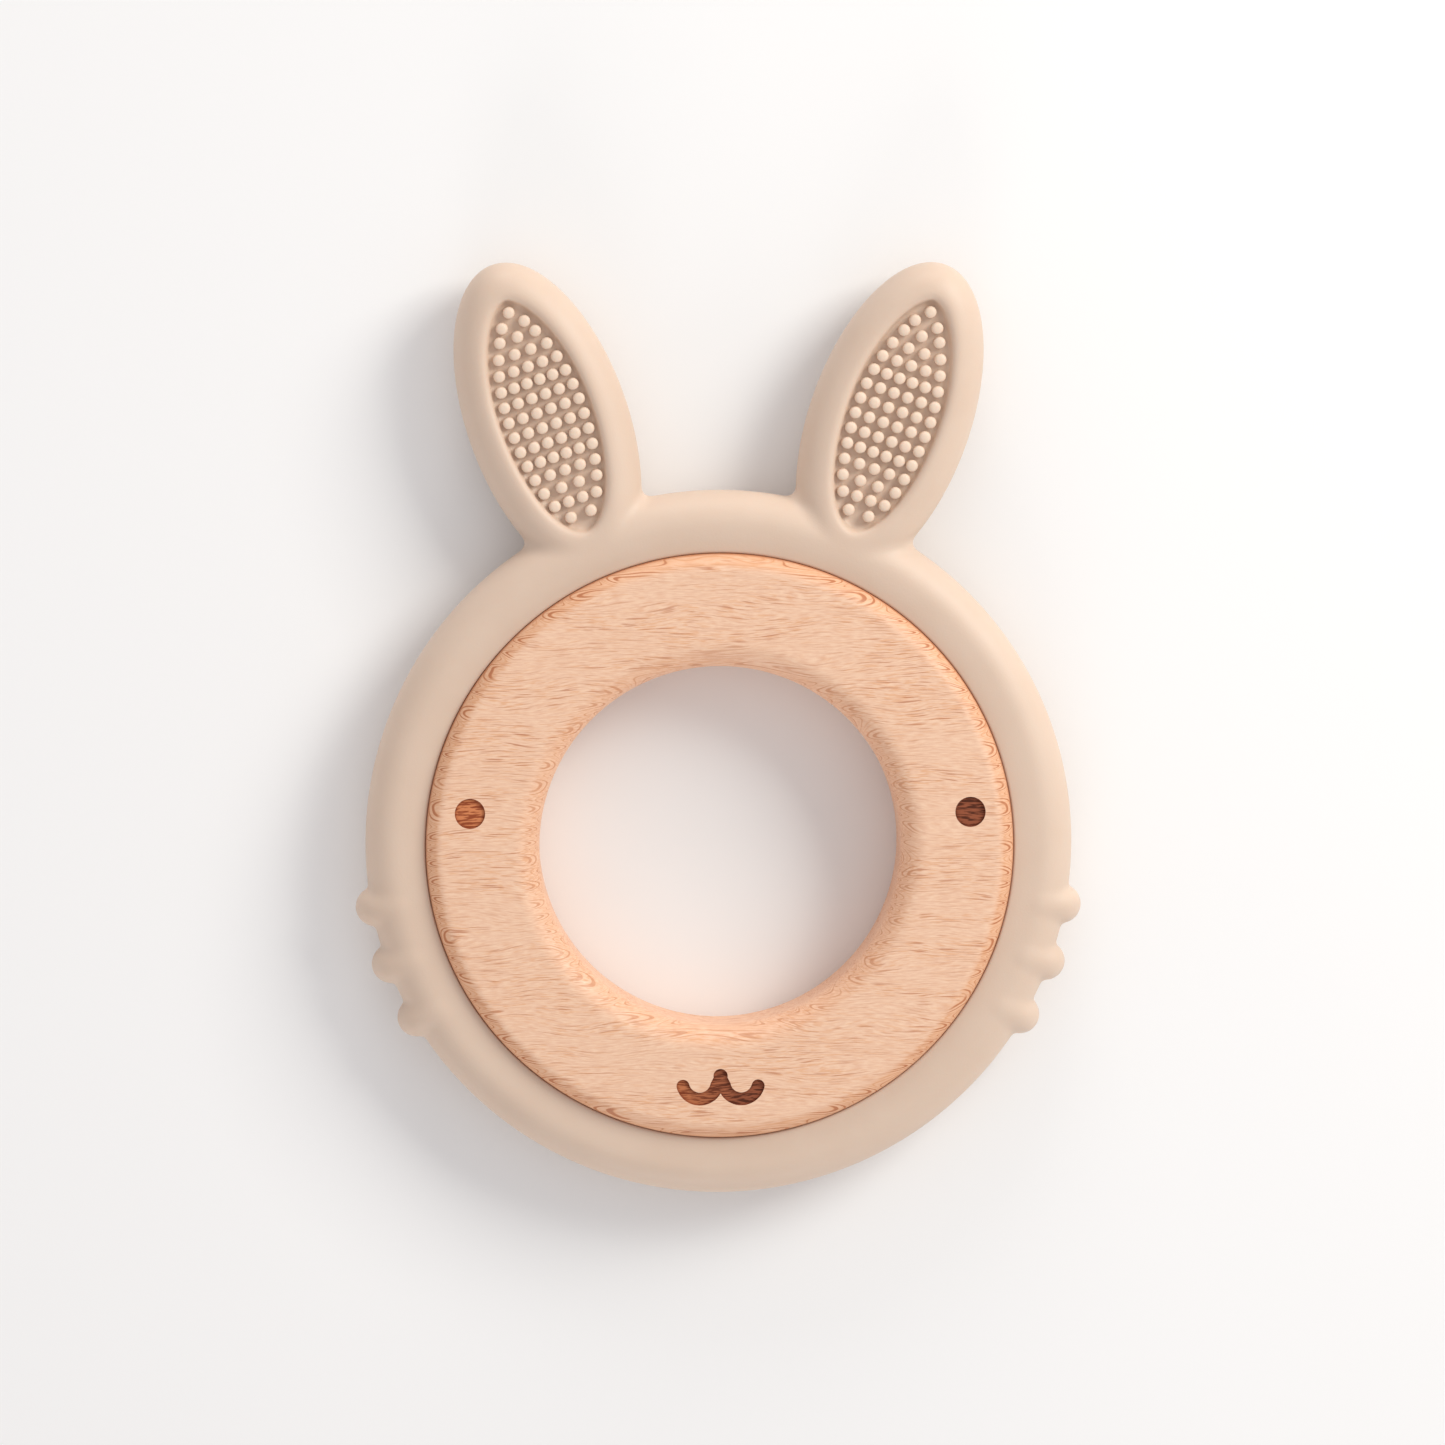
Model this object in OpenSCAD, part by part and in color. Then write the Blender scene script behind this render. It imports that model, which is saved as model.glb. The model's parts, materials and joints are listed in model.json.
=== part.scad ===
// Rabbit-shaped teething ring: a one-piece silicone rabbit outline stretched round a beech ring.
// Millimetres. Origin on the ring's axis at mid-thickness, +Z out of the rabbit's face, +Y to the ears.

/* [Beech ring] */
// Outside diameter of the beech ring
ring_d = 70; // [60:1:80]
// Diameter of the grip hole through it
hole_d = 42.9; // [36:0.1:44]
// Thickness of the beech ring
ring_t = 12; // [11:0.5:14]
// Radius of the rounded outer edge
ring_outer_round = 2.2; // [1.5:0.1:3]
// Radius of the rounded edge at the grip hole
ring_inner_round = 3.2; // [2:0.1:4.5]

/* [Silicone rabbit] */
// Outside diameter of the silicone hoop
hoop_d = 84.4; // [80:0.2:90]
// Thickness of the silicone
silicone_t = 9; // [8:0.5:10]
// Radius of the hoop's rounded outer edge
hoop_round = 4; // [3:0.1:4]
// Drop from the hoop's crown to its inner lip
lip_drop = 0.3; // [0.2:0.1:1]

/* [Ears] */
// Length of an ear's oval, part of it buried in the hoop
ear_len = 39; // [34:0.5:42]
// Width of an ear
ear_w = 19.1; // [16:0.1:21]
// Distance from the ring's centre to an ear's centre
ear_reach = 54.5; // [52:0.1:56]
// Angle of an ear's centre from straight up
ear_spread = 21.9; // [20:0.1:25]
// Angle an ear leans outwards
ear_tilt = 19.6; // [15:0.1:24]
// Thickness of the ears
ear_t = 8.8; // [8:0.1:8.8]

/* [Ear pads] */
// Length of the sunk pad in an ear
pad_len = 28.8; // [27:0.1:30]
// Width of the sunk pad
pad_w = 11.1; // [9:0.1:12]
// How far the pad sits from the ear's centre towards the tip
pad_shift = 0.7; // [0:0.1:1.5]
// Depth of the pad below the ear's face
pad_depth = 1.4; // [0.8:0.1:2]
// Diameter of a massage nub
nub_d = 1.45; // [1:0.05:1.6]
// Height of a massage nub
nub_h = 1.2; // [0.6:0.1:1.4]
// Spacing of the nub rows along the ear
nub_pitch = 1.85; // [1.8:0.01:1.9]
// Length of the field of nubs
field_len = 26; // [25:0.1:26]
// Width of the field of nubs, between middles
field_w = 8.8; // [8:0.1:9]

/* [Cheek bumps] */
// Radius of a bump
bump_r = 2.3; // [1.8:0.1:2.6]
// How far the bumps stand out of the hoop
bump_proud = 1.9; // [1:0.1:2.2]
// How far a bump's ends stop short of the hoop's faces
bump_drop = 0.5; // [0.3:0.1:1.5]
// Angle of the top bump below the horizontal
bump_first = 10.4; // [8:0.1:14]
// Angle between bumps
bump_step = 9.8; // [9:0.1:12]

/* [Groove and rib] */
// Depth of the groove round the beech ring
groove_depth = 2; // [1:0.1:3]
// Width of the silicone rib that sits in the groove
rib_w = 4; // [2:0.1:4]
// Clearance between silicone and beech all over the seat
seat_gap = 0.05; // [0.02:0.01:0.1]

/* [Engraved face] */
// Diameter of an eye
eye_d = 3.6; // [3:0.1:5]
// Distance of an eye from the middle
eye_x = 29.7; // [28:0.1:30.5]
// Height of the eyes above the ring's centre
eye_y = 4.25; // [0:0.05:6]
// Depth of the burnt engraving
engrave_depth = 0.3; // [0.1:0.05:0.5]
// Distance of the mouth's two arcs below the ring's centre
mouth_y = 28; // [27:0.1:29]
// Mean radius of a mouth arc
mouth_r = 2.07; // [1.5:0.01:2.3]
// Stroke width of the mouth
mouth_stroke = 1.55; // [1:0.05:1.7]

/* [Hidden] */
$fn = 96;
ring_r = ring_d / 2;
hole_r = hole_d / 2;
hoop_r = hoop_d / 2;
ring_top = ring_t / 2;
hoop_top = silicone_t / 2;
ear_top = ear_t / 2;
seat_r = ring_r + seat_gap;
rib_r = ring_r - groove_depth + seat_gap;
groove_w = rib_w + 2 * seat_gap;
arc_steps = 10;
cut = 1;
outline_steps = 40;
ear_coins = 12;
ear_edge_r = 4;
coin_core = 0.1;
// Nubs in each row, from the base of the ear to its tip
nub_counts = [2, 4, 4, 5, 6, 6, 6, 6, 6, 6, 5, 4, 3, 2, 1];
// Last row before the ones at the tip, which stand closer together
last_full_row = 12;
tip_pitch = 1.52;
// First row and middle of the field, from the middle of the ear
first_row = -11.57;
field_shift = 1;
// Outlines of the pad and of the field: 0.5 ends like an ellipse, more is more pointed
pad_tip = 0.62;
pad_base = 0.54;
field_tip = 0.86;
field_base = 0.46;
nub_dome = 0.54;
nub_root = 0.5;
knob_angle = 14;
knob_r = 0.8;
prong_r = 0.85;
prong_rise = 0.7;
prong_x = 0.4;

// Points of an arc about [x, z] from angle a0 to a1
function arc(x, z, r, a0, a1) =
    [for (i = [0:arc_steps]) let (a = a0 + (a1 - a0) * i / arc_steps) [x + r * cos(a), z + r * sin(a)]];

// The same profile below the mid-plane, in reverse order
function mirrored(points) =
    [for (i = [len(points) - 1:-1:0]) [points[i][0], -points[i][1]]];

// Half the width of a leaf outline at v from its middle, towards the tip
function leaf_half_width(v, length, width, tip, base) =
    width / 2 * pow(max(0, 1 - pow(2 * v / length, 2)), v > 0 ? tip : base);

// Radius of the circle that touches both sides of the ear's oval at v along it
function ear_coin_r(v, a, b) = b * sqrt(1 - v * v / (a * a - b * b));

// Position of a nub row along the ear
function row_v(i) =
    first_row + min(i, last_full_row) * nub_pitch + max(0, i - last_full_row) * tip_pitch;

module hoop() {
    crown_r = hoop_r - hoop_round;
    lip_w = crown_r - seat_r;
    lip_r = (lip_w * lip_w + lip_drop * lip_drop) / (2 * lip_drop);
    lip = arc(crown_r, hoop_top - lip_r, lip_r, 90 + asin(lip_w / lip_r), 90);
    edge = arc(crown_r, hoop_top - hoop_round, hoop_round, 90, 0);
    half = concat(lip, edge);
    rotate_extrude() polygon(concat(half, mirrored(half)));
}

module rib() {
    translate([0, 0, -rib_w / 2]) difference() {
        cylinder(r = seat_r + cut, h = rib_w);
        translate([0, 0, -cut]) cylinder(r = rib_r, h = rib_w + 2 * cut);
    }
}

// A disc with round edges, one of those that the ear is stretched over
module coin(r) {
    edge_r = min(r - coin_core, ear_edge_r);
    for (side = [-1, 1]) translate([0, 0, side * (ear_top - edge_r)])
        rotate_extrude($fn = 32) translate([r - edge_r, 0]) intersection() {
            circle(r = edge_r, $fn = 24);
            translate([0, -edge_r]) square([edge_r, 2 * edge_r]);
        }
}

module ear_body() {
    a = ear_len / 2;
    b = ear_w / 2;
    reach = (a * a - b * b) / a;
    hull() for (i = [0:ear_coins]) {
        v = reach * (2 * i / ear_coins - 1);
        translate([0, v, 0]) coin(ear_coin_r(v, a, b));
    }
}

// Carries its children to an ear: side -1 is the left ear, 1 the right
module at_ear(side) {
    rotate([0, 0, -side * ear_spread]) translate([0, ear_reach, 0])
        rotate([0, 0, side * (ear_spread - ear_tilt)]) children();
}

module pad_pocket() {
    right = [
        for (i = [0:outline_steps]) let (v = -pad_len / 2 * cos(180 * i / outline_steps))
            [leaf_half_width(v, pad_len, pad_w, pad_tip, pad_base), v]
    ];
    left = [for (i = [outline_steps - 1:-1:1]) [-right[i][0], right[i][1]]];
    translate([0, pad_shift, ear_top - pad_depth])
        linear_extrude(pad_depth + cut) polygon(concat(right, left));
}

module nub() {
    dome_r = nub_d / 2;
    dome = [for (a = [0:15:90]) [dome_r * cos(a), nub_h - nub_dome + nub_dome * sin(a)]];
    rotate_extrude($fn = 24) polygon(concat([[0, -nub_root], [dome_r, -nub_root]], dome));
}

module nub_field() {
    for (i = [0:len(nub_counts) - 1]) {
        n = nub_counts[i];
        v = row_v(i);
        half = leaf_half_width(v - field_shift, field_len, field_w, field_tip, field_base);
        for (k = [0:n - 1]) {
            u = n > 1 ? half * (2 * k / (n - 1) - 1) : 0;
            translate([u, v, ear_top - pad_depth]) nub();
        }
    }
}

// Rounded bead that stands across the hoop's outer edge
module cheek_bump() {
    half = arc(0, hoop_top - bump_drop - bump_r, bump_r, 90, 0);
    rotate_extrude($fn = 48) polygon(concat(half, mirrored(half)));
}

module cheek_bumps() {
    for (side = [-1, 1], i = [0:2])
        rotate([0, 0, 90 - side * (90 + bump_first + i * bump_step)])
            translate([hoop_r + bump_proud - bump_r, 0, 0]) cheek_bump();
}

module silicone_rabbit() color([0.86, 0.76, 0.68]) {
    difference() {
        union() {
            hoop();
            for (side = [-1, 1]) at_ear(side) ear_body();
            cheek_bumps();
        }
        cylinder(r = seat_r, h = 2 * silicone_t, center = true);
        for (side = [-1, 1]) at_ear(side) pad_pocket();
    }
    for (side = [-1, 1]) at_ear(side) nub_field();
    rib();
}

module ring_blank() {
    outer = arc(ring_r - ring_outer_round, ring_top - ring_outer_round, ring_outer_round, 90, 0);
    inner = arc(hole_r + ring_inner_round, ring_top - ring_inner_round, ring_inner_round, 180, 90);
    half = concat(inner, outer);
    rotate_extrude() polygon(concat(half, mirrored(half)));
}

module groove() {
    translate([0, 0, -groove_w / 2]) difference() {
        cylinder(r = ring_r + cut, h = groove_w);
        translate([0, 0, -cut]) cylinder(r = ring_r - groove_depth, h = groove_w + 2 * cut);
    }
}

// One U of the mouth: side 1 is the right one, which ends in a round knob on the right
module mouth_arc(side) {
    outer_r = mouth_r + mouth_stroke / 2;
    mirror([side < 0 ? 1 : 0, 0]) translate([mouth_r + prong_x, 0]) {
        difference() {
            circle(r = outer_r);
            circle(r = mouth_r - mouth_stroke / 2);
            translate([-2 * outer_r, 0]) square([4 * outer_r, 2 * outer_r]);
            rotate([0, 0, -knob_angle]) square([2 * outer_r, outer_r]);
        }
        rotate([0, 0, -knob_angle]) translate([mouth_r, 0]) circle(r = knob_r);
    }
}

module mouth() {
    translate([0, -mouth_y, ring_top - engrave_depth]) linear_extrude(engrave_depth + cut) {
        for (side = [-1, 1]) mouth_arc(side);
        translate([0, prong_rise]) circle(r = prong_r);
        translate([-prong_r, -prong_rise]) square([2 * prong_r, 2 * prong_rise]);
    }
}

module eyes() {
    for (side = [-1, 1])
        translate([side * eye_x, eye_y, ring_top - engrave_depth])
            cylinder(d = eye_d, h = engrave_depth + cut);
}

module beech_ring() color([0.93, 0.74, 0.57]) difference() {
    ring_blank();
    groove();
    eyes();
    mouth();
}

silicone_rabbit();
beech_ring();
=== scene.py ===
"""Looks of the rabbit teething ring: matte silicone, waxed beech, burnt eyes and mouth."""

import json
import math

import bpy
import numpy as np
from mathutils import Matrix, Vector


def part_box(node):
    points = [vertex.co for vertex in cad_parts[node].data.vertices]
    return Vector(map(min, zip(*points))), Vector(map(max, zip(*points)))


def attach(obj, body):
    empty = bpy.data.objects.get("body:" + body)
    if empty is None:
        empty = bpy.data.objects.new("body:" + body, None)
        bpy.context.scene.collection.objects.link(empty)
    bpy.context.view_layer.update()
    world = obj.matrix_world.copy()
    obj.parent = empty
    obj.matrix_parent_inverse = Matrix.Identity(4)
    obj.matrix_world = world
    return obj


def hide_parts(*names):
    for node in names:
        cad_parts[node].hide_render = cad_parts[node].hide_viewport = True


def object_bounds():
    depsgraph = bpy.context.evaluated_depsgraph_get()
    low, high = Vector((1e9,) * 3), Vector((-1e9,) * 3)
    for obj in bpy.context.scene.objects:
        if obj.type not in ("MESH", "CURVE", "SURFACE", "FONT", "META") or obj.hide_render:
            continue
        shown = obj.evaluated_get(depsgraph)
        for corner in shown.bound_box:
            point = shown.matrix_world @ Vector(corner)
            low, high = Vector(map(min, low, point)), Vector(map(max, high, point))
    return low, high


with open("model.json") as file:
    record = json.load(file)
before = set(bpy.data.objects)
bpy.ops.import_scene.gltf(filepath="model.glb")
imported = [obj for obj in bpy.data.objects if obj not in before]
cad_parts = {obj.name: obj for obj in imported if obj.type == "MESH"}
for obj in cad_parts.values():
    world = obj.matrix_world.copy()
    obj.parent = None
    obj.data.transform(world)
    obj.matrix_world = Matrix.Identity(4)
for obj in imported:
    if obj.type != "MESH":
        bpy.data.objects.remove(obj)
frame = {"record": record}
cad_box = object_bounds()
MM = 0.001

# ---- sizes in millimetres: outer ones come from the frame, the rest are those of part.scad ----
ring_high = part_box("beech_ring")[1] / MM
skin_low, skin_high = (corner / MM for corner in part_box("silicone_rabbit"))
mounts = {mount["name"]: mount for mount in frame["record"]["mounts"]}

RING_R = ring_high.x
RING_TOP = ring_high.z
HOLE_R = mounts["grip_hole"]["dims"]["r_mm"]
RING_OUTER_ROUND = 2.2
RING_INNER_ROUND = 3.2
GROOVE_DEPTH = 2.0
GROOVE_HALF = 2.05

HOOP_R = -skin_low.y
HOOP_TOP = skin_high.z
HOOP_ROUND = 4.0
# How far the hoop's face dips towards the wood
LIP_DROP = 0.3
# Tighter than the CAD's 0.05, so that the seam is as thin as in the photo
SEAT_GAP = 0.02
SEAT_R = RING_R + SEAT_GAP
SEAT_EDGE_ROUND = 0.25
RIB_R = RING_R - GROOVE_DEPTH + SEAT_GAP
RIB_HALF = 2.0
# How far the rib reaches into the hoop, to be one with it
RIB_ROOT = 1.0

EAR_HALF_LEN = 19.5
EAR_HALF_WIDTH = 9.55
EAR_REACH = 54.5
EAR_SPREAD = math.radians(21.9)
EAR_TILT = math.radians(19.6)
EAR_TOP = HOOP_TOP - 0.1
# Distance outside the hoop over which its height falls to the ears'
EAR_STEP_LEN = 4.0
EAR_FILLET = 1.7

PAD_HALF_LEN = 14.4
PAD_HALF_WIDTH = 5.55
PAD_SHIFT = 0.7
PAD_DEPTH = 1.4
PAD_FLOOR = EAR_TOP - PAD_DEPTH
# Lean of the pads' walls, as a slope
PAD_DRAFT = 0.25
PAD_FLOOR_ROUND = 0.6
PAD_EDGE_ROUND = 0.8
# Outlines: 0.5 ends like an ellipse, more is more pointed
PAD_TIP_POINT = 0.62
PAD_BASE_POINT = 0.54
# The field is the part of the pad that the nubs stand on
FIELD_HALF_LEN = 13.0
FIELD_HALF_WIDTH = 4.4
FIELD_TIP_POINT = 0.86
FIELD_BASE_POINT = 0.46
FIELD_SHIFT = 1.0

NUB_R = 0.725
NUB_H = 1.2
NUB_ROOT = 0.5
# Height at which the dome starts, and the powers and angles that shape it
NUB_STRAIGHT = 0.55 * NUB_H
DOME_WIDTH_POWER = 0.6
DOME_HEIGHT_POWER = 0.9
DOME_ANGLES = np.radians(np.linspace(80, 0, 6))
# Nubs in each row, from the hoop to the ear's tip
NUB_COUNTS = (2, 4, 4, 5, 6, 6, 6, 6, 6, 6, 5, 4, 3, 2, 1)
NUB_PITCH = 1.85
# The rows at the tip stand closer together
TIP_ROWS = 2
TIP_PITCH = 1.52
# How far the first row is below the field's middle
FIRST_ROW = 12.57

# Angles of the cheek bumps below the X axis
BUMP_ANGLES = np.radians([10.4, 20.2, 30.0])
BUMP_R = 2.3
BUMP_PROUD = 1.9
BUMP_FILLET = 0.6
# A bump is a bead that is bent round the hoop's outer edge: the bend's radius, how far it goes to each side
# of the middle, and its height as a share of its width
BUMP_BEND = HOOP_ROUND + BUMP_PROUD - BUMP_R
BUMP_WRAP = math.radians(80)
BUMP_SQUASH = 0.6

EYE_R = 1.8
EYE_X = 29.7
EYE_Y = 4.25
ENGRAVE_DEPTH = 0.3
# How far the cutters reach above the face
ENGRAVE_CLEAR = 1.0
MOUTH_Y = 28.0
MOUTH_R = 2.07
MOUTH_HALF_STROKE = 0.775
MOUTH_X = MOUTH_R + 0.4
KNOB_ANGLE = 14
PRONG_R = 0.85
PRONG_RISE = 0.7
# Where the strokes' inner arcs end and the prong's arc starts
INNER_END_ANGLE = 188
PRONG_START_ANGLE = -12
# Width of the strip of painted shade along the edge of the engraving's floor
ENGRAVING_SHADE_RIM_WIDTH = 0.28

# ---- mesh fineness ----
# The grid on which the silicone's surface is found: (start, spacing) along each axis, the last the end
NET_RADII = [(32, 0.4), (34.8, 0.12), (35.6, 0.4), (43, 0.35), (75, 0)]
NET_HEIGHTS = [(-5.5, 0.55), (1.5, 0.32), (5.6, 0)]
# Degrees from the hoop's bottom up its right side: fine over the bumps, finest over the ear
NET_RIGHT_TURNS = [(-90, 1.1), (-46, 0.48), (-4, 1.1), (48, 0.36), (90, 0)]
# The grid is worked out in this many parts, to need less memory
NET_PARTS = 16
RELAX_ROUNDS = 4
# Share of the way to its neighbours' middle that a point moves in one round
RELAX_SHARE = 0.5
SETTLE_STEPS = 3
# Longest move of a point towards the surface in one step
MAX_MOVE = 0.3
RING_SEGMENTS = 256
NUB_SEGMENTS = 14
EYE_SEGMENTS = 48
ROUND_STEPS = 20
STROKE_OUTER_STEPS = 24
STROKE_INNER_STEPS = 16
KNOB_STEPS = 12
PRONG_STEPS = 10
# Edges sharper than this are shaded as edges
SKIN_SHARP = math.radians(50)
RING_SHARP = math.radians(40)


# ---- mesh helpers ----
def mesh_object(name, vertices, faces):
    """A smooth-shaded object from points in millimetres."""
    mesh = bpy.data.meshes.new(name)
    mesh.from_pydata((np.asarray(vertices) * MM).tolist(), [], [list(map(int, f)) for f in faces])
    mesh.validate()
    mesh.update()
    mesh.shade_smooth()
    obj = bpy.data.objects.new(name, mesh)
    bpy.context.scene.collection.objects.link(obj)
    return obj


def lathe(profile, segments, closed):
    """Vertices and faces of a profile of (r, z) points turned about Z.

    An open profile starts and ends on the axis.
    """
    ring_points = profile if closed else profile[1:-1]
    n = len(ring_points)
    angles = np.arange(segments) * 2 * math.pi / segments
    r, z = np.array(ring_points).T
    x, y = np.outer(np.cos(angles), r), np.outer(np.sin(angles), r)
    vertices = np.stack([x, y, np.broadcast_to(z, x.shape)], axis=2).reshape(-1, 3)
    faces = []
    for i in range(segments):
        j = (i + 1) % segments
        for k in range(n if closed else n - 1):
            m = (k + 1) % n
            faces.append((i * n + k, i * n + m, j * n + m, j * n + k))
    if not closed:
        first, last = len(vertices), len(vertices) + 1
        vertices = np.vstack([vertices, [[0, 0, profile[0][1]], [0, 0, profile[-1][1]]]])
        for i in range(segments):
            j = (i + 1) % segments
            faces.append((first, i * n, j * n))
            faces.append((last, j * n + n - 1, i * n + n - 1))
    return vertices, faces


def arc(x, y, r, start, end, steps):
    """Points of an arc about (x, y), angles in degrees."""
    angles = np.radians(np.linspace(start, end, steps + 1))
    return [(x + r * math.cos(a), y + r * math.sin(a)) for a in angles]


def apply_boolean(obj, tool, operation):
    """Joins the tool to obj, or cuts it out, and deletes the tool."""
    modifier = obj.modifiers.new("boolean", "BOOLEAN")
    modifier.operation = operation
    modifier.solver = "MANIFOLD"
    modifier.object = tool
    modifier.material_mode = "TRANSFER"
    depsgraph = bpy.context.evaluated_depsgraph_get()
    joined = obj.evaluated_get(depsgraph)
    mesh = bpy.data.meshes.new_from_object(joined, preserve_all_data_layers=True, depsgraph=depsgraph)
    obj.modifiers.clear()
    old = obj.data
    obj.data = mesh
    mesh.name = obj.name
    bpy.data.meshes.remove(old)
    bpy.data.objects.remove(tool)


# ---- the silicone's shape as a signed distance, negative inside ----
def smooth_min(a, b, k):
    """The smaller of a and b, blended where they differ by less than k."""
    h = np.maximum(k - np.abs(a - b), 0) / k
    return np.minimum(a, b) - h * h * k / 4


def smooth_max(a, b, k):
    return -smooth_min(-a, -b, k)


def smooth_step(low, high, x):
    t = np.clip((x - low) / (high - low), 0, 1)
    return t * t * (3 - 2 * t)


def ear_place(side):
    """Centre of an ear and the direction to its tip: side -1 is the left ear, 1 the right."""
    centre = EAR_REACH * np.array([side * math.sin(EAR_SPREAD), math.cos(EAR_SPREAD)])
    tip = np.array([side * math.sin(EAR_TILT), math.cos(EAR_TILT)])
    return centre, tip


def ear_coordinates(x, y, side):
    """(across, along) an ear, from its centre."""
    centre, tip = ear_place(side)
    dx, dy = x - centre[0], y - centre[1]
    return dx * tip[1] - dy * tip[0], dx * tip[0] + dy * tip[1]


def ellipse_distance(u, v, a, b):
    """Distance to an ellipse of half length a along v and half width b along u."""
    near = np.hypot(u / b, v / a)
    slope = np.hypot(u / b**2, v / a**2)
    least_slope = 1e-9
    return near * (near - 1) / np.maximum(slope, least_slope)


def leaf_distance(u, v):
    """Distance to the pad's leaf outline, an ellipse with slightly pointed ends."""
    a, b = PAD_HALF_LEN, PAD_HALF_WIDTH
    point = PAD_BASE_POINT + (PAD_TIP_POINT - PAD_BASE_POINT) * smooth_step(-a / 2, a / 2, v)
    power = 1 / point
    least_across, least_slope = 1e-9, 1e-3
    across = np.abs(u) / b + least_across
    value = across**power + (v / a) ** 2 - 1
    slope = np.hypot(power * across ** (power - 1) / b, 2 * v / a**2)
    return value / np.maximum(slope, least_slope)


def bump_distance(x, y, z, angle, side):
    """Distance to a cheek bump, a bead bent round the hoop's outer edge. Side 1 is the right."""
    outward = side * x * math.cos(angle) - y * math.sin(angle) - (HOOP_R - HOOP_ROUND)
    along = side * x * math.sin(angle) + y * math.cos(angle)
    wrap = np.clip(np.arctan2(z, outward), -BUMP_WRAP, BUMP_WRAP)
    beyond = outward - BUMP_BEND * np.cos(wrap)
    above = z - BUMP_SQUASH * BUMP_BEND * np.sin(wrap)
    return np.sqrt(beyond**2 + above**2 + along**2) - BUMP_R


def skin_distance(p):
    """Distance to the whole silicone moulding, apart from its nubs."""
    x, y, z = p[..., 0], p[..., 1], p[..., 2]
    r = np.hypot(x, y)
    outline = r - HOOP_R
    pads = []
    for side in (-1, 1):
        u, v = ear_coordinates(x, y, side)
        ear = ellipse_distance(u, v, EAR_HALF_LEN, EAR_HALF_WIDTH)
        outline = smooth_min(outline, ear, EAR_FILLET)
        pads.append(leaf_distance(u, v - PAD_SHIFT))
    crown = HOOP_R - HOOP_ROUND
    dip = LIP_DROP * (np.maximum(crown - r, 0) / (crown - SEAT_R)) ** 2
    top = HOOP_TOP - (HOOP_TOP - EAR_TOP) * smooth_step(HOOP_R, HOOP_R + EAR_STEP_LEN, r) - dip
    inward = outline + HOOP_ROUND
    upward = np.abs(z) - (top - HOOP_ROUND)
    body = np.minimum(np.maximum(inward, upward), 0) - HOOP_ROUND
    body += np.hypot(np.maximum(inward, 0), np.maximum(upward, 0))
    for side in (-1, 1):
        for angle in BUMP_ANGLES:
            body = smooth_min(body, bump_distance(x, y, z, angle, side), BUMP_FILLET)
    body = smooth_max(body, SEAT_R - r, SEAT_EDGE_ROUND)
    for pad in pads:
        wall = pad - PAD_DRAFT * (z - PAD_FLOOR - PAD_DEPTH / 2)
        pocket = smooth_max(wall, PAD_FLOOR - z, PAD_FLOOR_ROUND)
        body = smooth_max(body, -pocket, PAD_EDGE_ROUND)
    rib = np.maximum(np.maximum(RIB_R - r, np.abs(z) - RIB_HALF), r - SEAT_R - RIB_ROOT)
    return np.minimum(body, rib)


def surface_net(distance, radii, turns, heights):
    """Vertices and quads over the surface where distance is 0.

    The grid is of cylinders, half planes and levels. Each grid cell that the surface passes through gets
    one vertex, at the mean of the points where the surface crosses the cell's edges.
    """
    r, turn, z = np.meshgrid(radii, turns, heights, indexing="ij")
    points = np.stack([r * np.cos(turn), r * np.sin(turn), z], axis=-1)
    values = np.concatenate([distance(rows) for rows in np.array_split(points, NET_PARTS)])
    points = np.concatenate([points, points[:, :1]], axis=1)
    values = np.concatenate([values, values[:, :1]], axis=1)
    inside = values < 0
    shape = np.array(values.shape)

    def window(start, lost):
        """The slices of a block of the grid that starts at start and is lost shorter than the grid."""
        return tuple(slice(start[k], shape[k] - lost[k] + start[k]) for k in range(3))

    corners = [np.array(corner) for corner in np.ndindex(2, 2, 2)]
    one_less = np.ones(3, dtype=int)
    corners_inside = sum(inside[window(corner, one_less)].astype(int) for corner in corners)
    cells = np.argwhere((corners_inside > 0) & (corners_inside < len(corners)))
    number = np.full(shape - 1, -1)
    number[tuple(cells.T)] = np.arange(len(cells))

    steps = np.eye(3, dtype=int)
    total, count = np.zeros((len(cells), 3)), np.zeros(len(cells))
    for corner in corners:
        for step in steps[corner == 0]:
            start, end = tuple((cells + corner).T), tuple((cells + corner + step).T)
            crossing = inside[start] != inside[end]
            gap = np.where(crossing, values[start] - values[end], 1)
            t = np.where(crossing, values[start] / gap, 0)[:, None]
            total += crossing[:, None] * (points[start] * (1 - t) + points[end] * t)
            count += crossing

    quads = []
    for axis in range(3):
        step, one, two = steps[axis], steps[(axis + 1) % 3], steps[(axis + 2) % 3]
        low, high = inside[window(0 * step, step)], inside[window(step, step)]
        edges = np.argwhere(low != high)
        edges = edges[edges[:, 1] < shape[1] - 1]
        leaving = low[tuple(edges.T)]
        around = [number[tuple((edges - back).T)] for back in (0 * one, one, one + two, two)]
        quad = np.stack(around, axis=1)
        quads.append(np.where(leaving[:, None], quad, quad[:, ::-1]))
    return total / count[:, None], np.concatenate(quads)


def onto_surface(distance, p, steps):
    """Moves points along the gradient onto the surface."""
    probe = 1e-3
    least_slope = 0.05
    for _ in range(steps):
        rises = [distance(p + probe * axis) - distance(p - probe * axis) for axis in np.eye(3)]
        slope = np.stack(rises, axis=1) / (2 * probe)
        steepness = np.maximum((slope**2).sum(1), least_slope)
        move = distance(p)[:, None] * slope / steepness[:, None]
        p = p - np.clip(move, -MAX_MOVE, MAX_MOVE)
    return p


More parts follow.
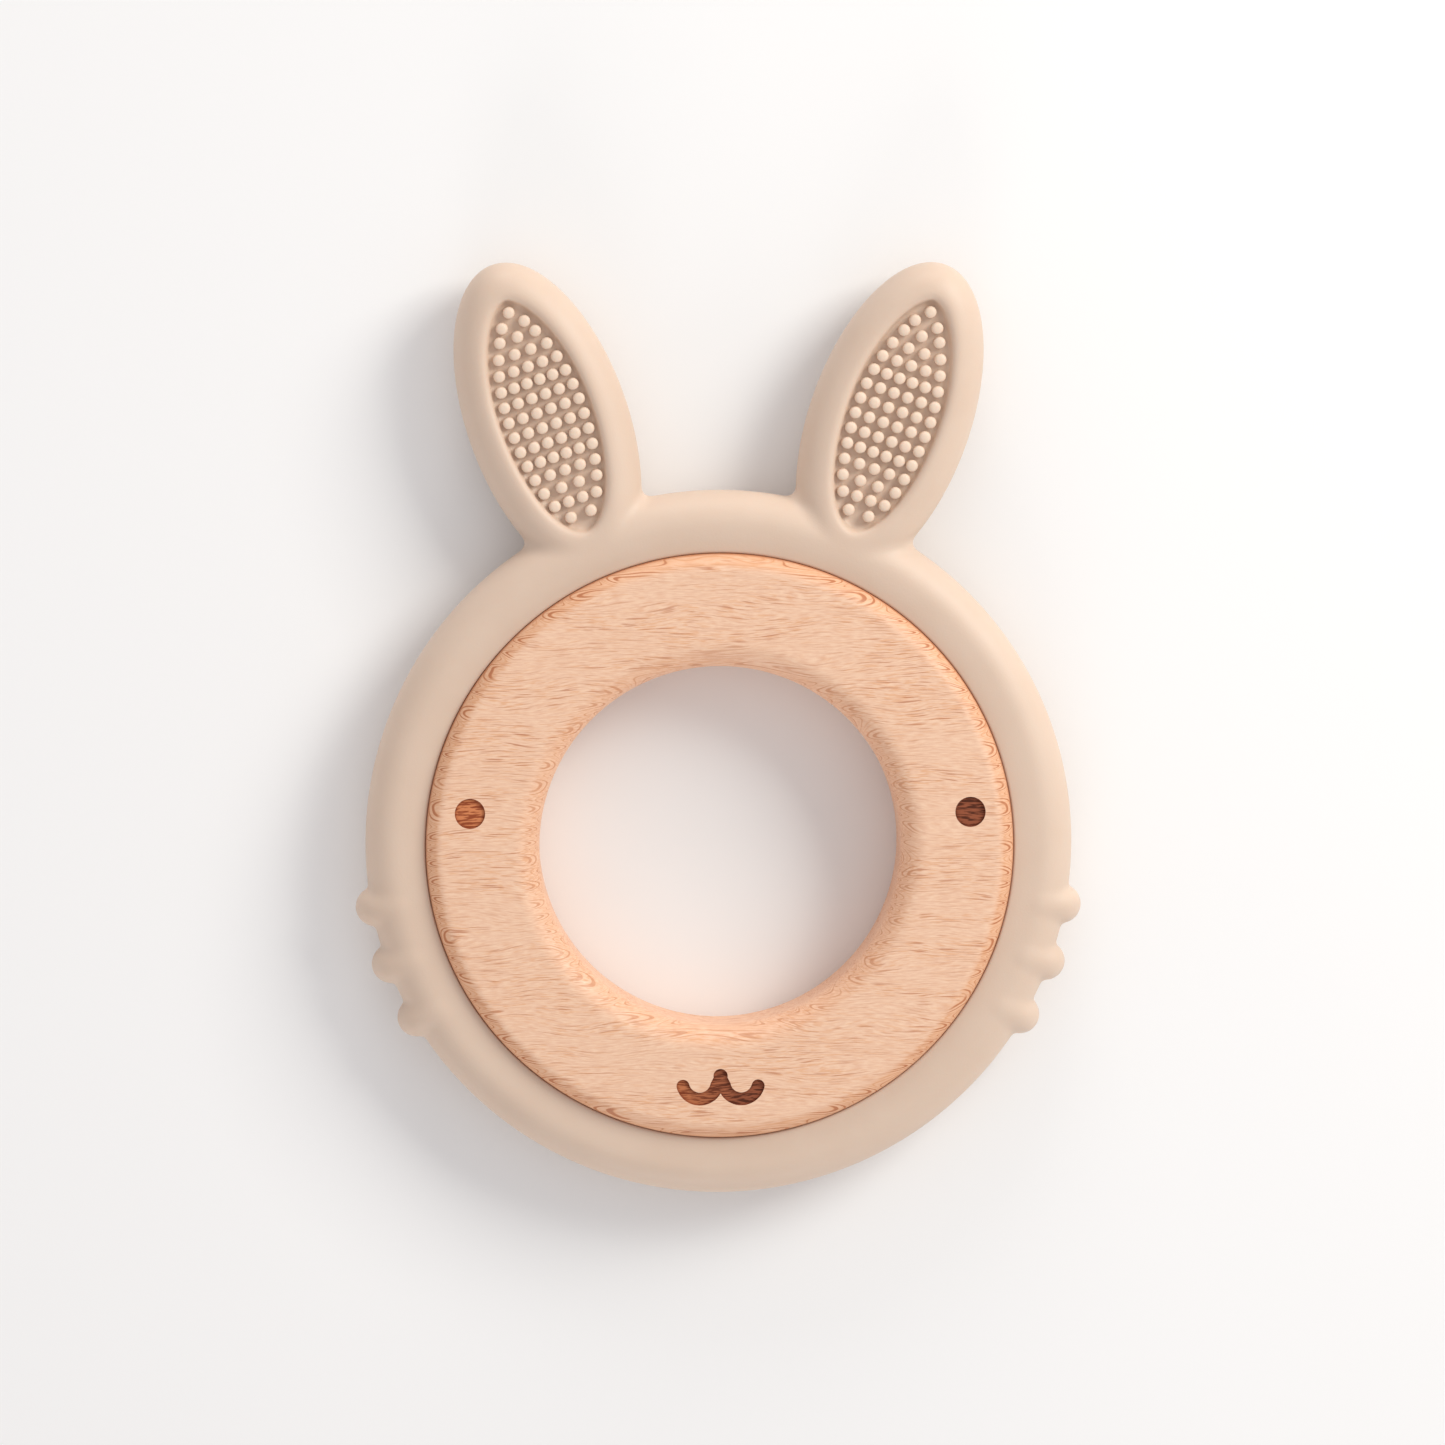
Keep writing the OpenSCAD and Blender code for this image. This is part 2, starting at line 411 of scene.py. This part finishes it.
def relaxed(distance, vertices, quads, rounds):
    """Evens out the net by moving each point towards the middle of its neighbours, along the surface."""
    starts, ends = quads.ravel(), np.roll(quads, -1, axis=1).ravel()
    a, b = np.concatenate([starts, ends]), np.concatenate([ends, starts])
    degree = np.bincount(a, minlength=len(vertices))[:, None]
    for _ in range(rounds):
        sums = [np.bincount(a, vertices[b, k], len(vertices)) for k in range(3)]
        middle = np.stack(sums, axis=1) / degree
        vertices = onto_surface(distance, vertices + RELAX_SHARE * (middle - vertices), 1)
    return onto_surface(distance, vertices, SETTLE_STEPS)


def graded_axis(stops):
    """Grid positions from (start, spacing) pairs, of which the last start is the end."""
    parts = [np.arange(a, b, step) for (a, step), (b, _) in zip(stops[:-1], stops[1:])]
    return np.concatenate(parts + [[stops[-1][0]]])


# ---- the pieces ----
def field_half_width(v):
    """Half the width of the field of nubs at v along it."""
    point = FIELD_TIP_POINT if v > 0 else FIELD_BASE_POINT
    return FIELD_HALF_WIDTH * max(0.0, 1 - (v / FIELD_HALF_LEN) ** 2) ** point


def nub_places():
    """(across, along) of each nub on a pad, from the ear's centre."""
    places = []
    full_rows = len(NUB_COUNTS) - TIP_ROWS
    for i, count in enumerate(NUB_COUNTS):
        v = min(i, full_rows - 1) * NUB_PITCH + max(0, i - full_rows + 1) * TIP_PITCH - FIRST_ROW
        across = field_half_width(v) * (np.linspace(-1, 1, count) if count > 1 else np.zeros(1))
        places += [(u, v + FIELD_SHIFT) for u in across]
    return places


def nub_profile():
    """Profile of a nub from the top of its blunt dome to below the pad's floor."""
    radii = NUB_R * np.cos(DOME_ANGLES) ** DOME_WIDTH_POWER
    levels = NUB_STRAIGHT + (NUB_H - NUB_STRAIGHT) * np.sin(DOME_ANGLES) ** DOME_HEIGHT_POWER
    return [(0, NUB_H), *zip(radii, levels), (NUB_R, -NUB_ROOT), (0, -NUB_ROOT)]


def make_nubs():
    """The nubs of both pads, as one object of separate closed shapes."""
    one, one_faces = lathe(nub_profile(), NUB_SEGMENTS, closed=False)
    vertices, faces = [], []
    for side in (-1, 1):
        centre, tip = ear_place(side)
        across = np.array([tip[1], -tip[0]])
        for u, v in nub_places():
            x, y = centre + u * across + v * tip
            faces += [tuple(len(vertices) * len(one) + k for k in f) for f in one_faces]
            vertices.append(one + [x, y, PAD_FLOOR])
    return mesh_object("nubs", np.concatenate(vertices), faces)


def make_skin(silicone, nub_silicone_painted_highlight):
    """The whole silicone moulding as one closed mesh."""
    right = graded_axis(NET_RIGHT_TURNS)[:-1]
    turns = np.concatenate([right, [90], 180 - right[:0:-1]])
    grid = graded_axis(NET_RADII), np.radians(turns), graded_axis(NET_HEIGHTS)
    vertices, quads = surface_net(skin_distance, *grid)
    vertices = relaxed(skin_distance, vertices, quads, RELAX_ROUNDS)
    skin = mesh_object("silicone_rabbit_skin", vertices, quads)
    skin.data.materials.append(silicone)
    nubs = make_nubs()
    nubs.data.materials.append(nub_silicone_painted_highlight)
    apply_boolean(skin, nubs, "UNION")
    skin.data.shade_smooth()
    skin.data.set_sharp_from_angle(angle=SKIN_SHARP)
    return skin


def ring_profile():
    """Closed profile of the beech ring, with its groove."""
    outer = RING_R - RING_OUTER_ROUND
    inner = HOLE_R + RING_INNER_ROUND
    top = arc(inner, RING_TOP - RING_INNER_ROUND, RING_INNER_ROUND, 180, 90, ROUND_STEPS)
    top += arc(outer, RING_TOP - RING_OUTER_ROUND, RING_OUTER_ROUND, 90, 0, ROUND_STEPS)
    groove = [(RING_R, GROOVE_HALF), (RING_R - GROOVE_DEPTH, GROOVE_HALF)]
    half = top + groove
    return half + [(r, -z) for r, z in reversed(half)]


def mouth_outline():
    """The mouth: two U strokes that end in round knobs and meet in a short prong."""
    outer = MOUTH_R + MOUTH_HALF_STROKE
    inner = MOUTH_R - MOUTH_HALF_STROKE
    notch = 180 + math.degrees(math.acos(MOUTH_X / outer))
    knob = math.radians(-KNOB_ANGLE)
    knob_x, knob_y = MOUTH_X + MOUTH_R * math.cos(knob), MOUTH_R * math.sin(knob)
    right = arc(MOUTH_X, 0, outer, notch, 360 - KNOB_ANGLE, STROKE_OUTER_STEPS)
    right += arc(knob_x, knob_y, MOUTH_HALF_STROKE, -KNOB_ANGLE, 180 - KNOB_ANGLE, KNOB_STEPS)[1:]
    right += arc(MOUTH_X, 0, inner, 360 - KNOB_ANGLE, INNER_END_ANGLE, STROKE_INNER_STEPS)[1:]
    right += arc(0, PRONG_RISE, PRONG_R, PRONG_START_ANGLE, 90, PRONG_STEPS)
    return right + [(-x, y) for x, y in reversed(right[1:-1])]


def engraving_tool(name, outline, place):
    """A cutter for one mark. Its floor has a rim strip, which carries painted shade towards the edge."""
    points = np.array(outline)
    along = np.roll(points, -1, axis=0) - np.roll(points, 1, axis=0)
    inward = np.stack([-along[:, 1], along[:, 0]], axis=1) / np.linalg.norm(along, axis=1)[:, None]
    inset = points + inward * ENGRAVING_SHADE_RIM_WIDTH
    n = len(points)
    low, high = RING_TOP - ENGRAVE_DEPTH, RING_TOP + ENGRAVE_CLEAR
    levels = [(inset, low), (points, low), (points, high)]
    vertices = np.concatenate([np.column_stack([p + place, np.full(n, z)]) for p, z in levels])
    last = (len(levels) - 1) * n
    faces = [tuple(range(n - 1, -1, -1)), tuple(range(last, last + n))]
    for a in range(0, last, n):
        b = a + n
        faces += [(a + i, a + (i + 1) % n, b + (i + 1) % n, b + i) for i in range(n)]
    tool = mesh_object(name, vertices, faces)
    # Marks the engraving's edge and walls, which get painted shade
    shade_rim_attribute = tool.data.attributes.new("engraving_shade_rim", "FLOAT", "POINT")
    shade_rim_attribute.data.foreach_set("value", np.repeat([0.0, 1.0, 1.0], n).astype(np.float32))
    return tool


def make_ring(beech, burnt):
    """The beech ring with the eyes and mouth cut into its face."""
    vertices, faces = lathe(ring_profile(), RING_SEGMENTS, closed=True)
    ring = mesh_object("beech_ring_wood", vertices, faces)
    ring.data.materials.append(beech)
    circle = arc(0, 0, EYE_R, 0, 360, EYE_SEGMENTS)[:-1]
    marks = [(circle, (-EYE_X, EYE_Y)), (circle, (EYE_X, EYE_Y)), (mouth_outline(), (0, -MOUTH_Y))]
    for outline, place in marks:
        tool = engraving_tool("mark", outline, place)
        tool.data.materials.append(burnt)
        apply_boolean(ring, tool, "DIFFERENCE")
    ring.data.shade_smooth()
    ring.data.set_sharp_from_angle(angle=RING_SHARP)
    return ring


# ---- materials: colours are linear RGB, sizes are in millimetres ----
# A SIZE is that of a noise's features along X, Y and Z. A FADE is the two values between which a mask
# goes from its first strength to its second, from nothing to full where no strengths are named.
SILICONE = (0.69, 0.533, 0.42)
SILICONE_SHADE = (0.675, 0.515, 0.402)
# The nubs' silicone is lighter than the rest: a painted highlight for their domed tops, which catch more
# light than the rim
NUB_SILICONE_PAINTED_HIGHLIGHT = (0.8, 0.63, 0.5)
NUB_CLOUD_PAINTED_HIGHLIGHT = (0.78, 0.61, 0.48)
SILICONE_ROUGHNESS = 0.5
# How much light goes into the silicone, and how far its red, green and blue go
SILICONE_DEPTH_WEIGHT = 0.12
SILICONE_DEPTH_SCALE = 1.0
SILICONE_DEPTH = (1.0, 0.55, 0.35)
CLOUD_SIZE = (9, 9, 9)
CLOUD_FADE = (0.35, 0.65)
PITTING_SIZE = (0.22, 0.22, 0.22)
PITTING_DEPTH = 0.012

BEECH_PALE = (0.88, 0.605, 0.428)
BEECH_PINK = (0.79, 0.49, 0.335)
BEECH_ORANGE = (0.74, 0.37, 0.185)
BEECH_BROWN = (0.45, 0.14, 0.05)
# Roughness between the long pores and in them
BEECH_ROUGHNESS = (0.45, 0.58)
PORE_DEPTH = 0.01
# The fibres run along X, and wander this far across it
FIBRE_WAVE_SIZE = (14, 4, 9)
FIBRE_WAVE = 3.0
MOTTLE_SIZE = (1.3, 0.16, 0.4)
MOTTLE_FADE = (0.3, 0.7)
# Bands with few pores and with many
BAND_SIZE = (16, 2.2, 6)
BAND_FADE = (0.36, 0.62)
BAND_STRENGTHS = (0.3, 1)
SHORT_PORE_SIZE = (1.3, 0.115, 0.4)
SHORT_PORE_SHIFT = (7, 3, 1)
SHORT_PORE_FADE = (0.47, 0.68)
SHORT_PORE_STRENGTHS = (0, 0.65)
LONG_PORE_SIZE = (4.2, 0.17, 0.6)
LONG_PORE_FADE = (0.57, 0.68)

# How much the surface faces along Z: 1 on the flat faces, 0 on the upright walls
ROUNDING_FADE = (0.999, 0.86)
LEVEL_FADE = (0.85, 0.995)
LEVEL_PORE_STRENGTHS = (0.35, 0.7)
WALL_FADE = (0.1, 0.6)
WALL_LINE_STRENGTHS = (0.3, 1)
# From the rim of the hole to the outer rim, as radii
RIM_FADE = (26, 33)
# How strongly the rounded edges turn orange, at the hole and at the outer rim: end grain colour and painted
# shade
RIM_GRAIN_AND_PAINTED_SHADE_STRENGTHS = (0.12, 0.45)
RIM_LINE_STRENGTHS = (0.5, 1)

# The growth layers are flat sheets of this thickness, bent into waves along Y that drift in and out of step
LAYER_SIZE = 0.42
LAYER_WAVE_LENGTH = 2.3
LAYER_WAVE_HEIGHT = 1.25
LAYER_DRIFT_SIZE = (40, 5, 40)
LAYER_DRIFT = 14.0
LINE_BREAK_SIZE = (2.5, 1.6, 2.5)
LINE_BREAK_FADE = (0.26, 0.42)
LINE_HALO_FADE = (0.42, 0.6)
LINE_HALO_STRENGTHS = (0, 0.7)
LINE_FADE = (0.56, 0.63)
LINE_STRENGTHS = (0, 0.85)

# Painted shade in the seam, where the ring's rim goes into the silicone and little light gets in
SEAM_SHADE_HEIGHT_FADE = (4.9, 4.2)
SEAM_SHADE_RADIUS_FADE = (34.5, 34.8)
SEAM_PAINTED_SHADE_STRENGTH = 0.7

# Streaks of the burn, at the right of the face and at its left
BURN_BRIGHT = ((0.3, 0.088, 0.042), (0.64, 0.23, 0.095))
BURN_DARK = ((0.09, 0.024, 0.012), (0.3, 0.07, 0.026))
BURN_LEFT_FADE = (4, -10)
BURN_STREAK_SIZE = (1.6, 0.17, 0.4)
BURN_STREAK_FADE = (0.42, 0.56)
BURN_STREAK_DEPTH = 0.05
# Painted shade at the edge of the engraving, where its wall meets the floor
ENGRAVING_PAINTED_SHADE_COLOUR = (0.2, 0.04, 0.014)
ENGRAVING_PAINTED_SHADE_STRENGTH = 0.5
BURN_ROUGHNESS = 0.75
BURN_SPECULAR = 0.15

# A Mix node has several sockets of the same name. These are the numbers of the colour's
MIX_FIRST, MIX_SECOND, MIX_RESULT = 6, 7, 2


class Graph:
    """A material's nodes. Values between nodes are output sockets or plain numbers."""

    def __init__(self, name):
        self.material = bpy.data.materials.new(name)
        self.material.use_nodes = True
        self.tree = self.material.node_tree
        self.shader = self.tree.nodes["Principled BSDF"]
        coordinates = self.node("ShaderNodeTexCoord")
        self.place = self.scaled(coordinates.outputs["Object"], (1 / MM, 1 / MM, 1 / MM))
        self.normal = coordinates.outputs["Normal"]

    def node(self, kind, inputs=None, **settings):
        node = self.tree.nodes.new(kind)
        for name, value in settings.items():
            setattr(node, name, value)
        for name, value in (inputs or {}).items():
            self.put(node.inputs[name], value)
        return node

    def put(self, socket, value):
        if isinstance(value, bpy.types.NodeSocket):
            self.tree.links.new(value, socket)
        else:
            socket.default_value = value

    def scaled(self, vector, factors):
        node = self.node("ShaderNodeVectorMath", {0: vector, 1: factors}, operation="MULTIPLY")
        return node.outputs["Vector"]

    def moved(self, vector, offset):
        return self.node("ShaderNodeVectorMath", {0: vector, 1: offset}, operation="ADD").outputs["Vector"]

    def length(self, vector):
        return self.node("ShaderNodeVectorMath", {0: vector}, operation="LENGTH").outputs["Value"]

    def axis(self, vector, name):
        return self.node("ShaderNodeSeparateXYZ", {"Vector": vector}).outputs[name]

    def math(self, operation, a, b=0.0):
        return self.node("ShaderNodeMath", {0: a, 1: b}, operation=operation).outputs["Value"]

    def times(self, a, b):
        return self.math("MULTIPLY", a, b)

    def noise(self, vector, sizes, detail):
        """Noise from 0 to 1 whose features are about sizes, in millimetres, along X, Y and Z."""
        point = self.scaled(vector, [1 / size for size in sizes])
        inputs = {"Vector": point, "Scale": 1.0, "Detail": detail}
        return self.node("ShaderNodeTexNoise", inputs).outputs["Fac"]

    def faded(self, value, fade, strengths=(0, 1)):
        """Maps the two values of fade to the two strengths, with soft ends."""
        inputs = {"Value": value, "From Min": fade[0], "From Max": fade[1]}
        inputs |= {"To Min": strengths[0], "To Max": strengths[1]}
        return self.node("ShaderNodeMapRange", inputs, interpolation_type="SMOOTHSTEP").outputs["Result"]

    def mix(self, factor, first, second):
        """The first colour where factor is 0 and the second where it is 1."""
        node = self.node("ShaderNodeMix", {"Factor": factor}, data_type="RGBA")
        for number, colour in ((MIX_FIRST, first), (MIX_SECOND, second)):
            opaque = colour if isinstance(colour, bpy.types.NodeSocket) else (*colour, 1)
            self.put(node.inputs[number], opaque)
        return node.outputs[MIX_RESULT]

    def bump(self, height, depth):
        """Relief of the given depth in millimetres, where height goes from 0 to 1."""
        inputs = {"Height": height, "Distance": depth * MM, "Strength": 1.0}
        self.put(self.shader.inputs["Normal"], self.node("ShaderNodeBump", inputs).outputs["Normal"])

    def set(self, **values):
        """Sets the shader's inputs, named with _ for each space."""
        for name, value in values.items():
            self.put(self.shader.inputs[name.replace("_", " ")], value)


def grain_place(graph):
    """Position in the wood, moved so that the fibres are a little wavy."""
    wave = graph.math("SUBTRACT", graph.noise(graph.place, FIBRE_WAVE_SIZE, detail=1), 0.5)
    shift = graph.node("ShaderNodeCombineXYZ", {"Y": graph.times(wave, FIBRE_WAVE)})
    return graph.moved(graph.place, shift.outputs["Vector"])


def layer_lines(graph, place):
    """Noise from 0 to 1 that depends on the growth layer alone, so that it draws the layers' lines."""
    drift = graph.times(graph.noise(place, LAYER_DRIFT_SIZE, detail=1), LAYER_DRIFT)
    turn = graph.times(graph.axis(place, "Y"), 2 * math.pi / LAYER_WAVE_LENGTH)
    wave = graph.times(graph.math("SINE", graph.math("ADD", turn, drift)), LAYER_WAVE_HEIGHT)
    layer = graph.math("DIVIDE", graph.math("ADD", graph.axis(place, "Z"), wave), LAYER_SIZE)
    inputs = {"W": layer, "Scale": 1.0, "Detail": 1.0}
    return graph.node("ShaderNodeTexNoise", inputs, noise_dimensions="1D").outputs["Fac"]


def make_beech():
    """Waxed beech: mottle and pores all over, growth lines, and on the rounded edges an orange tint that is
    partly the end grain's colour and partly painted shade, stronger towards the outer rim.
    """
    graph = Graph("waxed_beech")
    place = grain_place(graph)
    facing = graph.math("ABSOLUTE", graph.axis(graph.normal, "Z"))
    radius = graph.length(graph.scaled(graph.place, (1, 1, 0)))
    rounding = graph.faded(facing, ROUNDING_FADE)

    mottle = graph.faded(graph.noise(place, MOTTLE_SIZE, detail=3), MOTTLE_FADE)
    colour = graph.mix(mottle, BEECH_PALE, BEECH_PINK)
    # Orange on the rounded edges: partly the end grain's colour, partly painted shade, stronger towards the
    # outer rim
    rim_grain_and_painted_shade = graph.faded(radius, RIM_FADE, RIM_GRAIN_AND_PAINTED_SHADE_STRENGTHS)
    colour = graph.mix(graph.times(rounding, rim_grain_and_painted_shade), colour, BEECH_ORANGE)

    band = graph.faded(graph.noise(place, BAND_SIZE, detail=1), BAND_FADE, BAND_STRENGTHS)
    short = graph.noise(graph.moved(place, SHORT_PORE_SHIFT), SHORT_PORE_SIZE, detail=1)
    short = graph.faded(short, SHORT_PORE_FADE, SHORT_PORE_STRENGTHS)
    colour = graph.mix(graph.times(short, band), colour, BEECH_ORANGE)
    long = graph.faded(graph.noise(place, LONG_PORE_SIZE, detail=1), LONG_PORE_FADE)
    level = graph.times(graph.faded(facing, LEVEL_FADE, LEVEL_PORE_STRENGTHS), band)
    colour = graph.mix(graph.times(long, level), colour, BEECH_BROWN)

    lines = layer_lines(graph, place)
    broken = graph.faded(graph.noise(place, LINE_BREAK_SIZE, detail=1), LINE_BREAK_FADE)
    shown = graph.times(graph.times(rounding, broken), graph.faded(facing, WALL_FADE, WALL_LINE_STRENGTHS))
    shown = graph.times(shown, graph.faded(radius, RIM_FADE, RIM_LINE_STRENGTHS))
    halo = graph.faded(lines, LINE_HALO_FADE, LINE_HALO_STRENGTHS)
    colour = graph.mix(graph.times(halo, shown), colour, BEECH_ORANGE)
    core = graph.faded(lines, LINE_FADE, LINE_STRENGTHS)
    colour = graph.mix(graph.times(core, shown), colour, BEECH_BROWN)

    height = graph.math("ABSOLUTE", graph.axis(graph.place, "Z"))
    # Painted shade on the wood where its rim goes down into the silicone
    seam_painted_shade = graph.times(graph.faded(height, SEAM_SHADE_HEIGHT_FADE), graph.faded(radius, SEAM_SHADE_RADIUS_FADE))
    colour = graph.mix(graph.times(seam_painted_shade, SEAM_PAINTED_SHADE_STRENGTH), colour, BEECH_BROWN)
    graph.set(Base_Color=colour, Roughness=graph.faded(long, (0, 1), BEECH_ROUGHNESS))
    graph.bump(short, PORE_DEPTH)
    return graph.material


def make_burnt():
    """Laser-burnt wood at the floor of the engraving, darker towards +X, with painted shade at the rim."""
    graph = Graph("burnt_beech")
    streaks = graph.noise(grain_place(graph), BURN_STREAK_SIZE, detail=2)
    left = graph.faded(graph.axis(graph.place, "X"), BURN_LEFT_FADE)
    dark, bright = graph.mix(left, *BURN_DARK), graph.mix(left, *BURN_BRIGHT)
    colour = graph.mix(graph.faded(streaks, BURN_STREAK_FADE), dark, bright)
    # Painted shade along the engraving's edge and walls
    painted_shade_rim = graph.node("ShaderNodeAttribute", attribute_name="engraving_shade_rim").outputs["Fac"]
    colour = graph.mix(graph.times(painted_shade_rim, ENGRAVING_PAINTED_SHADE_STRENGTH), colour, ENGRAVING_PAINTED_SHADE_COLOUR)
    graph.set(Base_Color=colour, Roughness=BURN_ROUGHNESS, Specular_IOR_Level=BURN_SPECULAR)
    graph.bump(streaks, BURN_STREAK_DEPTH)
    return graph.material


def make_silicone(name, colour, shade):
    """Soft matt silicone with a faint cloudiness."""
    graph = Graph(name)
    cloud = graph.faded(graph.noise(graph.place, CLOUD_SIZE, detail=3), CLOUD_FADE)
    graph.set(Base_Color=graph.mix(cloud, colour, shade), Roughness=SILICONE_ROUGHNESS)
    graph.set(Subsurface_Weight=SILICONE_DEPTH_WEIGHT, Subsurface_Radius=SILICONE_DEPTH)
    graph.set(Subsurface_Scale=SILICONE_DEPTH_SCALE * MM)
    graph.bump(graph.noise(graph.place, PITTING_SIZE, detail=2), PITTING_DEPTH)
    return graph.material


silicone = make_silicone("soft_silicone", SILICONE, SILICONE_SHADE)
# The nubs get the lighter silicone, a painted highlight on them
nub_silicone_painted_highlight = make_silicone("nub_silicone_painted_highlight", NUB_SILICONE_PAINTED_HIGHLIGHT, NUB_CLOUD_PAINTED_HIGHLIGHT)
beech = make_beech()
burnt = make_burnt()

skin = make_skin(silicone, nub_silicone_painted_highlight)
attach(skin, "silicone_rabbit")
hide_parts("silicone_rabbit")

ring = make_ring(beech, burnt)
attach(ring, "beech_ring")
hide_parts("beech_ring")

# ---- floor, light and camera, in metres ----
FLOOR_SIZE = 4
FLOOR_COLOUR = (0.9, 0.9, 0.9, 1)
FLOOR_ROUGHNESS = 0.9
WORLD_COLOUR = (1, 0.975, 0.985, 1)
WORLD_STRENGTH = 0.64
LIGHT_AIM = (0, 0.01, 0)
KEY_PLACE = (0.548, 0.428, 0.4345)
KEY_COLOUR = (1, 0.985, 0.93)
KEY_POWER = 4.2
KEY_SIZE = 0.36
# The fills are suns, so that they leave no edge on the floor. Only the direction of their place counts
FILL_PLACES = {"front_fill": (-0.06, -0.68, 0.17), "back_fill": (-0.06, 0.68, 0.17)}
FILL_COLOUR = (1, 0.98, 0.96)
FILL_POWER = 0.67
FILL_SPREAD = math.radians(26)
# The camera looks down at the aim, from a little to the left of it and from the ears' side
CAMERA_AIM = Vector((0.00044, 0.0144, 0))
CAMERA_DISTANCE = 0.8
CAMERA_LEFT = math.radians(2)
CAMERA_TO_EARS = math.radians(6)
VIEW_WIDTH = 0.17243


def add_light(name, kind, place, colour, power, **settings):
    """A light at place that shines towards the object."""
    data = bpy.data.lights.new(name, kind)
    data.energy = power
    data.color = colour
    for setting, value in settings.items():
        setattr(data, setting, value)
    light = bpy.data.objects.new(name, data)
    light.visible_camera = False
    bpy.context.scene.collection.objects.link(light)
    light.location = place
    light.rotation_euler = (Vector(LIGHT_AIM) - Vector(place)).to_track_quat("-Z", "Y").to_euler()


def add_camera():
    """The photograph's view: VIEW_WIDTH wide at the aim."""
    away = Vector((-math.tan(CAMERA_LEFT), math.tan(CAMERA_TO_EARS), 1)).normalized()
    right = Vector((0, 1, 0)).cross(away).normalized()
    data = bpy.data.cameras.new("camera")
    data.lens = data.sensor_width * CAMERA_DISTANCE / VIEW_WIDTH
    camera = bpy.data.objects.new("camera", data)
    bpy.context.scene.collection.objects.link(camera)
    camera.location = CAMERA_AIM + away * CAMERA_DISTANCE
    camera.rotation_euler = Matrix((right, away.cross(right), away)).transposed().to_euler()
    bpy.context.scene.camera = camera


bpy.ops.mesh.primitive_plane_add(size=FLOOR_SIZE, location=(0, 0, cad_box[0].z))
floor = bpy.context.object
floor.name = "floor"
floor_paint = Graph("floor_paint")
floor_paint.set(Base_Color=FLOOR_COLOUR, Roughness=FLOOR_ROUGHNESS)
floor.data.materials.append(floor_paint.material)

world = bpy.data.worlds.new("studio")
bpy.context.scene.world = world
world.use_nodes = True
background = world.node_tree.nodes["Background"]
background.inputs["Color"].default_value = WORLD_COLOUR
background.inputs["Strength"].default_value = WORLD_STRENGTH
bpy.context.scene.view_settings.view_transform = "Standard"

add_light("key", "AREA", KEY_PLACE, KEY_COLOUR, KEY_POWER, size=KEY_SIZE)
for fill, place in FILL_PLACES.items():
    add_light(fill, "SUN", place, FILL_COLOUR, FILL_POWER, angle=FILL_SPREAD)
add_camera()
